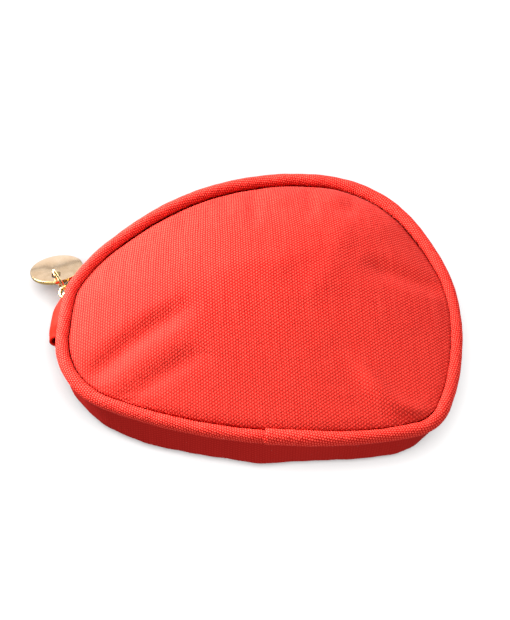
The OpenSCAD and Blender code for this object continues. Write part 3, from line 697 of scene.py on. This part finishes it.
zip_gusset = edge_strip("zip_gusset_cloth", FOLD_RIGHT, FOLD_LEFT, wall_profile(7.0, []))
thicken(zip_gusset, FABRIC_T)
done(zip_gusset, red_wall_painted_shade, ("zip_gusset",))


# back panel, its padding and the lining inside

def flat_sheet(name, count, inset, height):
    """A flat panel of count by count places that ends an inset inside the outline."""
    x, y, _, _ = round_grid(count, lambda angle: line_reach(angle, inset))
    return lay_cloth(name, np.stack((x, y, 0 * x + height), 2), np.stack((x, y), 2))


back_panel = flat_sheet("back_panel_cloth", 49, 7.4, FABRIC_T)
thicken(back_panel, FABRIC_T)
done(back_panel, red_weave, ("back_panel",))

back_lining = flat_sheet("back_lining_cloth", 49, 8.4, 3.3)
thicken(back_lining, PADDING_T)
done(back_lining, lining_weave, ("back_foam", "back_lining"))

BINDING_ROWS = [(8.2, 0.95), (8.3, 2.2), (7.7, 2.5), (7.0, 2.3), (6.9, 1.6)]
back_binding = edge_strip("back_binding_cloth", 0, EDGE_LENGTH, lambda along: BINDING_ROWS)
thicken(back_binding, BINDING_T)
done(back_binding, binding_weave, ("back_binding",))

LINING_INSIDE, LINING_HEIGHTS = 0.95, (5.6, 7.8, 10, 12.2, 14.6)
gusset_lining = edge_strip("gusset_lining_cloth", FOLD_LEFT, FOLD_RIGHT + EDGE_LENGTH,
                           lambda along: [(wall_inset(along, z) + LINING_INSIDE, z) for z in LINING_HEIGHTS])
thicken(gusset_lining, LINING_T)
done(gusset_lining, lining_weave, ("gusset_lining",))


# zip: two tapes and two rows of teeth that mesh

# Heights of each tape's rows; the front tape's seam under the piping; how far it runs on past the zip's right
# end and how far inside the wall it and its seam lie there (mm)
REAR_TAPE_Z, FRONT_TAPE_Z = (6.8, 8.1, 9.4, 10.7), (12.3, 13.5, 14.7, 15.6)
TAPE_SEAM, TAPE_SEAM_Z = 2.6, 16.7
TAPE_RUN, TAPE_INSIDE, SEAM_INSIDE = 10.5, 1.75, 0.9


def front_tape_profile(along):
    """The front tape: sewn under the piping; it runs on past the zip's right end, inside the wall."""
    inside = 1 - smooth(along - FOLD_RIGHT, -0.5, 3.5)
    made = [(WALL_INSET + TAPE_INSIDE * inside, z) for z in FRONT_TAPE_Z]
    seam_z = TAPE_SEAM_Z + lifted(edge_at(along, TAPE_SEAM)[1])
    return made + [(TAPE_SEAM + drawn_in(along) + SEAM_INSIDE * inside, seam_z)]


tape_rear = edge_strip("zip_tape_rear_cloth", FOLD_RIGHT, FOLD_LEFT,
                       lambda along: [(WALL_INSET, z) for z in REAR_TAPE_Z])
done(thicken(tape_rear, TAPE_T), tape_weave, ("zip_tape_rear",))
tape_front = edge_strip("zip_tape_front_cloth", FOLD_RIGHT - TAPE_RUN, FOLD_LEFT, front_tape_profile)
done(thicken(tape_front, TAPE_T), tape_weave, ("zip_tape_front",), folds=True)


def block(size, at, bevel, segments=3):
    """A box with rounded edges (mm)."""
    return in_edit(fresh("block", bpy.ops.mesh.primitive_cube_add, size=1),
                   (bpy.ops.transform.resize, {"value": [v * MM for v in size]}),
                   (bpy.ops.transform.translate, {"value": [v * MM for v in at]}),
                   (bpy.ops.mesh.bevel, {"offset": bevel * MM, "segments": segments, "affect": "EDGES"}))


# One loop of the coil: size along, across and up, rounding; from loop to loop; above or below the zip's line;
# how far it stands out of the tape (mm)
TOOTH, TOOTH_BEVEL = (0.85, 1.2, 2.9), 0.3
TOOTH_PITCH, TOOTH_RISE, TOOTH_PROUD = 1.7, 1.05, 0.55


def coil(name, height, shift):
    """A row of loops that lie across the zip."""
    model = block(TOOTH, (0, 0, 0), TOOTH_BEVEL, 2)
    stations = np.arange(FOLD_RIGHT + 2 + shift, FOLD_LEFT - 1, TOOTH_PITCH)
    x, y, out_x, out_y = edge_at(stations, WALL_INSET - TOOTH_PROUD)
    copies = []
    for px, py, ox, oy in zip(x, y, out_x, out_y):
        copy = model.copy()
        copy.data = model.data.copy()
        turn = Matrix.Rotation(math.atan2(oy, ox) - math.pi / 2, 4, "Z")
        copy.data.transform(Matrix.Translation(Vector((px, py, height)) * MM) @ turn)
        scene.collection.objects.link(copy)
        copies.append(copy)
    bpy.data.objects.remove(model)
    piece = merged(name, copies)
    bpy.ops.object.shade_smooth()
    return piece


coil_rear = coil("zip_coil_rear_teeth", ZIP_Z - TOOTH_RISE, 0.0)
done(coil_rear, coil_nylon, ("zip_coil_rear",))
coil_front = coil("zip_coil_front_teeth", ZIP_Z + TOOTH_RISE, TOOTH_PITCH / 2)
done(coil_front, coil_nylon, ("zip_coil_front",), folds=True)


# tabs folded over the zip's ends

# A tab's middle and half height, its inset at the wall, its least swell, how far its free end rises and its
# swollen middle droops (mm)
TAB_Z, TAB_HALF, TAB_INSET = 11.4, 5.5, 0.9
TAB_SWELL, TAB_RISE, TAB_DROOP = 0.7, 1.2, 0.5


def tab_profile(first, last, out, upper_first):
    """A puffed fold of satin on the wall, below the piping; its free end stands a little open."""
    def rows(along):
        share = (along - first) / (last - first)
        share = share if upper_first else 1 - share
        full = smooth(share, -0.1, 0.5) * (1 - 0.12 * smooth(share, 0.8, 1.0))
        flat = 1 - 0.35 * smooth(share, 0.75, 1.0)
        made = []
        for a in np.linspace(-76, 86, 17):
            c, s = math.cos(math.radians(a)) ** 0.8, math.sin(math.radians(a))
            height = TAB_Z + TAB_HALF * flat * s + TAB_RISE * (1 - flat) - TAB_DROOP * full * c
            made.append((TAB_INSET - (TAB_SWELL + out * full) * c, height))
        return made
    return rows


# Each tab: first and last length along the edge, how far it puffs out (mm), whether its upper end comes first
TABS = (
    ("left", FOLD_LEFT - 8.5, FOLD_LEFT + 12.0, 4.3, True),
    ("right", FOLD_RIGHT - 16.0, FOLD_RIGHT + 3.0, 0.2, False),
)
for side, first, last, out, upper_first in TABS:
    tab = edge_strip(f"end_tab_{side}_cloth", first, last, tab_profile(first, last, out, upper_first), 0.7)
    thicken(tab, TAB_T)
    done(tab, tab_weave, (f"end_tab_{side}",))


# slider, link and disc pull

# The slider's place on the long top arc, the ways that link and disc point, and the disc's slope (degrees)
SLIDER_AT = 154.993
LINK_TURN = SLIDER_AT - 30
DISC_TURN = LINK_TURN - 25
DISC_SLOPE = 24.0
# The top arc's middle, the slider's and the link's distance from it; from the link's pivot to the disc's (mm)
TOP_C = Vector((13.0, -31.75, 0))
SLIDER_OUT, LINK_OUT, LINK_LENGTH = 89.0, 92.2, 6.4
# Strap and link: radius of the ring each is bent from and of its wire (mm); steps round a ring and its wire
STRAP_R, STRAP_WIRE = 3.5, 0.7
LINK_R, LINK_WIRE = 3.2, 0.5
RING_STEPS, WIRE_STEPS = 64, 16
# The disc: radius, thickness, rounding of its edge; its slot: size, rounding, distance from the disc's edge;
# the link's play in the slot (mm)
DISC_R, DISC_T, DISC_BEVEL = 9.7, 1.3, 0.16
DISC_SLOT, SLOT_BEVEL, SLOT_IN = (4.6, 3.2, 4.0), 1.4, 2.6
SLOT_PLAY = 0.55


def local_frame(at, turn, slope=0.0):
    """Place of a metal piece: x along turn, sloped down by slope degrees."""
    spin = Euler((0, math.radians(slope), math.radians(turn))).to_matrix().to_4x4()
    return Matrix.Translation(Vector(at) * MM) @ spin


def out_from_top(angle, reach):
    """A place on a line out from the top arc's middle."""
    return TOP_C + reach * Vector((math.cos(math.radians(angle)), math.sin(math.radians(angle)), 0))


def ring(name, radius, wire_r):
    """A ring of wire, lying flat."""
    return fresh(name, bpy.ops.mesh.primitive_torus_add, major_radius=radius * MM, minor_radius=wire_r * MM,
                 major_segments=RING_STEPS, minor_segments=WIRE_STEPS)


def slider_pieces():
    """Outer and inner plate, post, and the strap that the link hangs in; x runs outward, y along the zip."""
    outer = block((1.2, 8.5, 7.0), (0.75, 0, 0), 0.45)
    inner = block((1.0, 8.5, 7.0), (-3.3, 0, 0), 0.35)
    post = block((4.0, 4.5, 0.5), (-1.4, 0, 0), 0.12, 1)
    strap = ring("strap", STRAP_R, STRAP_WIRE)
    halved = {"plane_co": (0, -0.4 * MM, 0), "plane_no": (0, -1, 0), "clear_outer": True, "use_fill": True}
    in_edit(strap, (bpy.ops.mesh.bisect, halved), (bpy.ops.transform.resize, {"value": (1, 1, 1.5)}))
    strap.data.transform(Matrix.Translation((1.05 * MM, 0, 0)) @ Matrix.Rotation(-math.pi / 2, 4, "Z"))
    return outer, inner, post, strap


slider = joined("slider_metal", slider_pieces())
slider.data.transform(local_frame(out_from_top(SLIDER_AT, SLIDER_OUT) + Vector((0, 0, ZIP_Z)), SLIDER_AT))
done(slider, gold_wire, ("slider_body",), body="slider")


# Corners of the link seen from the side, from its pivot: x from the slider to the disc, and height (mm)
LINK_BENDS = np.array((
    (-0.5, 0.4), (0.1, 2.0), (1.9, 3.3), (4.4, 4.3), (6.5, 4.8), (7.1, 4.2),
    (6.9, 2.4), (6.6, 0.2), (6.1, -1.9), (4.6, -3.5), (2.4, -3.3), (0.3, -1.6),
))


def bent_link():
    """The link: a wire loop bent to a corner above the disc."""
    bends = LINK_BENDS
    for _ in range(2):
        after = np.roll(bends, -1, 0)
        bends = np.stack((0.75 * bends + 0.25 * after, 0.25 * bends + 0.75 * after), 1).reshape(-1, 2)
    share, stops = np.linspace(0, 1, RING_STEPS, endpoint=False), np.linspace(0, 1, len(bends) + 1)
    around = np.stack([np.interp(share, stops, np.append(way, way[0])) for way in bends.T], 1)
    ahead = np.roll(around, -1, 0) - np.roll(around, 1, 0)
    ahead /= np.linalg.norm(ahead, axis=1)[:, None]
    piece = ring("pull_link_wire", LINK_R, LINK_WIRE)
    places = corners(piece)
    turn = np.arctan2(places[:, 1], places[:, 0]) / (2 * math.pi)
    station = np.rint(turn * RING_STEPS).astype(int) % RING_STEPS
    off = np.hypot(places[:, 0], places[:, 1]) - LINK_R
    bent = around[station] + off[:, None] * np.stack((-ahead[station, 1], ahead[station, 0]), 1)
    set_corners(piece, np.stack((bent[:, 0], places[:, 2], bent[:, 1]), 1))
    in_edit(piece, FACES_OUT)
    bpy.ops.object.shade_smooth()
    return piece


link_pivot = out_from_top(SLIDER_AT, LINK_OUT) + Vector((0, 0, ZIP_Z))
link = bent_link()
link.data.transform(local_frame(link_pivot, LINK_TURN))
done(link, gold_wire, ("pull_link",), body="link")

link_way = math.radians(LINK_TURN)
disc_pivot = link_pivot + LINK_LENGTH * Vector((math.cos(link_way), math.sin(link_way), 0))
disc_place = local_frame(disc_pivot, DISC_TURN, DISC_SLOPE)


def disc_pull():
    """A round plate with a slot near its edge."""
    piece = fresh("pull_disc_metal", bpy.ops.mesh.primitive_cylinder_add,
                  vertices=128, radius=DISC_R * MM, depth=DISC_T * MM)
    formed(piece, "BEVEL", width=DISC_BEVEL * MM, segments=3, limit_method="ANGLE",
           angle_limit=math.radians(35))
    cutter = block(DISC_SLOT, (DISC_SLOT[0] / 2 + SLOT_IN - DISC_R, 0, 0), SLOT_BEVEL, 6)
    formed(piece, "BOOLEAN", object=cutter, operation="DIFFERENCE", solver="EXACT")
    bpy.data.objects.remove(cutter)
    pick(piece)
    bpy.ops.object.shade_smooth_by_angle(angle=math.radians(30))
    return piece


disc = disc_pull()
disc_out = (DISC_R - SLOT_IN - LINK_WIRE - SLOT_PLAY) * MM
disc.data.transform(disc_place @ Matrix.Translation((disc_out, 0, 0)))
done(disc, gold, ("pull_disc",), body="disc")
# Every face but the disc's two flat sides takes the darker gold, painted shade
disc.data.materials.append(painted_shade_gold_edge)
disc_axis = disc_place.to_3x3() @ Vector((0, 0, 1))
for face in disc.data.polygons:
    face.material_index = int(abs(face.normal.dot(disc_axis)) < 0.97)


# supplies

def packet(node, finish, crimp=1.6):
    """A soft sealed packet: full in the middle, thin along its sealed edges, crimp mm wide."""
    low, high = (np.array(v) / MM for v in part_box(node))
    side = np.linspace(-1, 1, 33)
    s, t = np.meshgrid(side, side)
    middle, half = (low + high) / 2, (high - low) / 2
    inner = np.minimum((1 - np.abs(s)) * half[0], (1 - np.abs(t)) * half[1])
    swell = smooth(inner, crimp * 0.7, crimp + min(half[0], half[1]) * 0.5) ** 0.6
    wave = 0.12 * np.sin(9 * s + 4 * t) + 0.1 * np.sin(7 * t - 3 * s + 1)
    thick = half[2] * (0.12 + (0.8 + wave * 0.3) * swell)
    round_off = 1 - 0.06 * (np.abs(s) * np.abs(t)) ** 4
    x, y = middle[0] + half[0] * s * round_off, middle[1] + half[1] * t * round_off
    base = low[2] + half[2] * 0.7 * (1 - swell)
    flat = np.stack((x, y), 2)
    top = lay_cloth(f"{node}_wrap", np.stack((x, y, np.minimum(base + 2 * thick, high[2])), 2), flat)
    under = lay_cloth("under", np.stack((x, y, base), 2)[::-1], flat[::-1])
    piece = joined(f"{node}_wrap", (top, under))
    in_edit(piece, (bpy.ops.mesh.remove_doubles, {"threshold": PACKET_WELD * MM}), FACES_OUT)
    bpy.ops.object.shade_smooth()
    return done(piece, finish, (node,))


packet("triangular_bandage", paper)
packet("compress_pack", paper)
packet("glove_pack", glove_film)
packet("plaster_strips", plaster, 0.8)
packet("wound_wipes", paper, 1.2)
packet("rescue_blanket", foil, 1.2)


def roll(node, turns=7):
    """A bandage wound on itself, lying across the pouch."""
    low, high = (np.array(v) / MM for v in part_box(node))
    middle = (low + high) / 2
    radius = (high[2] - low[2]) / 2
    angle = np.linspace(0, 2 * math.pi * turns, 36 * turns)
    size = 1.2 + (radius - 1.25) * angle / angle[-1]
    along = np.linspace(low[0], high[0], 9)
    uneven = np.zeros((len(along), len(angle)))
    uneven[[0, -1]] = 0.25 * np.sin(angle * 1.7)
    places = np.empty((len(along), len(angle), 3))
    places[..., 0] = along[:, None] + uneven
    places[..., 1] = middle[1] + size * np.cos(angle)
    places[..., 2] = middle[2] + size * np.sin(angle)
    length = np.concatenate(([0], np.cumsum(np.hypot(*(np.diff(places[0, :, 1:], axis=0)).T))))
    flat = np.stack(np.broadcast_arrays(length[None, :], along[:, None]), 2)
    piece = thicken(lay_cloth(f"{node}_wound", places, flat), GAUZE_T)
    return done(piece, gauze, (node,))


roll("gauze_roll_wide")
roll("gauze_roll_narrow", 6)


def tape_ring(node, inner, turns, finish):
    """A flat ring round a hole of radius inner (mm), its upper side ridged by its turns."""
    low, high = (np.array(v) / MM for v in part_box(node))
    middle, radius = (low + high) / 2, (high[0] - low[0]) / 2
    angle = np.linspace(0, 2 * math.pi, 97)
    rows = [(inner, low[2] + 0.2), (radius - 0.25, low[2]), (radius, low[2] + 0.3), (radius, high[2] - 0.3),
            (radius - 0.25, high[2])]
    rows += [(radius - (radius - inner) * k / turns, high[2] - 0.12 * (k % 2)) for k in range(1, turns + 1)]
    rows += [(inner, low[2] + 0.2)]
    places = np.array([[(middle[0] + r * math.cos(a), middle[1] + r * math.sin(a), z) for a in angle]
                       for r, z in rows])
    flat = np.array([[(a * radius, 4.0 * k) for a in angle] for k in range(len(rows))])
    piece = lay_cloth(f"{node}_ring", places, flat)
    in_edit(piece, FACES_OUT)
    bpy.ops.object.shade_smooth_by_angle(angle=CREASE)
    return done(piece, finish, (node,))


tape_ring("tape_winding", 6.6, 14, tape_cloth)
tape_ring("tape_core", 5.0, 2, core_plastic)

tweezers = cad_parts["tweezers"]
tweezers.data.materials.clear()
tweezers.data.materials.append(steel)


# camera, light and floor

# What the camera looks at, from how far (m) and how high; its focal length and the picture's height in pixels
TARGET = Vector((-1.52, 5.95, 0)) * MM
AWAY, TILT = 0.3539, math.radians(57)
FOCAL, PICTURE_HEIGHT, SENSOR = 950, 620, 36
camera = bpy.data.objects.new("camera", bpy.data.cameras.new("camera"))
camera.data.sensor_width = SENSOR
camera.data.lens = SENSOR * FOCAL / PICTURE_HEIGHT
camera.data.clip_start, camera.data.clip_end = 0.01, 20
camera.location = TARGET + AWAY * Vector((0, -math.cos(TILT), math.sin(TILT)))
camera.rotation_euler = (math.pi / 2 - TILT, 0, 0)
scene.collection.objects.link(camera)
scene.camera = camera

floor = fresh("floor", bpy.ops.mesh.primitive_plane_add, size=6)
floor_white = plain_finish("floor_white", (0.3, 0.3, 0.3), (0.31, 0.31, 0.31), 3.0, 0.0, roughness=0.9)
floor.data.materials.append(floor_white)
floor.location.z = -0.0001
floor.visible_diffuse = False  # no light from the bright floor on the pouch


def softbox(name, place, width, height, power, for_floor=False):
    """A soft light aimed at the pouch (m, W); it lights all but the floor, or only the floor."""
    light = bpy.data.lights.new(name, "AREA")
    light.shape, light.size, light.size_y = "RECTANGLE", width, height
    light.energy = power
    made = bpy.data.objects.new(name, light)
    made.location = place
    made.rotation_euler = (TARGET - Vector(place)).to_track_quat("-Z", "Y").to_euler()
    made.visible_camera = False
    scene.collection.objects.link(made)
    lit = bpy.data.collections.new(f"{name}_receivers")
    lit.objects.link(floor)
    made.light_linking.receiver_collection = lit
    lit.collection_objects[0].light_linking.link_state = "INCLUDE" if for_floor else "EXCLUDE"


softbox("key", (-0.245, 0.1414, 0.17), 0.2, 0.2, 6.4)
softbox("top", (0.3, 0.2, 0.9), 0.5, 0.5, 2.0)
softbox("side", (0.74, 0.43, 0.28), 0.6, 0.6, 3.8)
softbox("rear", (0.28, 0.55, 0.6), 0.4, 0.4, 4.8)
softbox("front", (0.0, -1.0, 0.3), 1.2, 0.6, 8.5)
softbox("floor_light", (0.0, -0.35, 1.2), 1.6, 1.6, 92.0, for_floor=True)
softbox("back_card", (-0.3, 1.5, 0.35), 3.0, 0.6, 4.0)

studio = bpy.data.worlds.new("studio")
scene.world = studio
studio.use_nodes = True
background = studio.node_tree.nodes["Background"]
background.inputs["Color"].default_value = (1, 1, 1, 1)
background.inputs["Strength"].default_value = 0.26
scene.view_settings.view_transform = "Standard"
